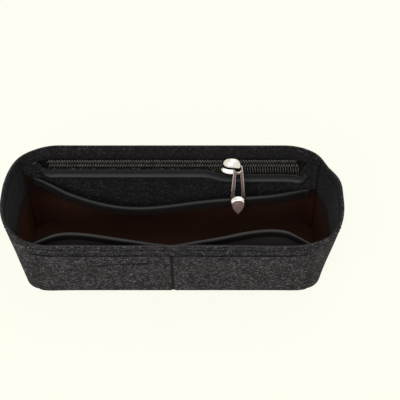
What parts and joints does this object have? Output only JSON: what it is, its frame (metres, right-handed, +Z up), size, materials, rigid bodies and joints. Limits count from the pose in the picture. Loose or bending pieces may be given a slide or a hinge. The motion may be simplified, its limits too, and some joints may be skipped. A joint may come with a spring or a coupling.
{
  "type": "purse organizer insert",
  "caption": "Open felt tub with flared walls and rounded ends that sits inside a handbag, with slip pockets inside and outside and a zipped pocket at the back.",
  "frame": {"origin": "centre of the tub's outline, on the surface that it stands on", "axes": "+X along the width, +Y to the back wall with the zip, +Z up"},
  "size_m": [0.22, 0.08, 0.072],
  "materials": {
    "felt": "needled felt, mottled dark grey",
    "lining": "smooth woven lining, dark brown",
    "binding": "folded woven tape, dark grey",
    "zip_tape": "woven tape, near black",
    "nylon": "moulded coil, dark grey",
    "nickel": "bright plated casting"
  },
  "bodies": {
    "tub": {"front_wall": "felt", "back_wall": "felt", "left_gusset": "felt", "right_gusset": "felt", "base_panel": "felt", "outer_pocket_panel": "felt", "front_lining": "lining", "back_lining": "lining", "left_lining": "lining", "right_lining": "lining", "base_lining": "lining", "front_pocket_panel": "lining", "front_pocket_binding": "binding", "slip_pocket_panel": "lining", "slip_pocket_binding": "binding", "zip_header": "felt", "zip_pocket_panel": "felt", "zip_facing": "binding", "upper_zip_tape": "zip_tape", "lower_zip_tape": "zip_tape", "upper_coil": "nylon", "lower_coil": "nylon"},
    "slider": {"slider_body": "nickel", "slider_cap": "nickel"},
    "pull": {"zip_pull": "nickel"}
  },
  "joints": [
    {"name": "slider_travel", "type": "slide", "parent": "tub", "child": "slider", "axis": [1, 0, 0], "range_m": [-0.112, 0.034]},
    {"name": "pull_swing", "type": "hinge", "parent": "slider", "child": "pull", "pos_m": [0.0434, 0.02739, 0.06242], "axis": [0, -0.788, 0.6157], "range_deg": [-50, 35]}
  ]
}
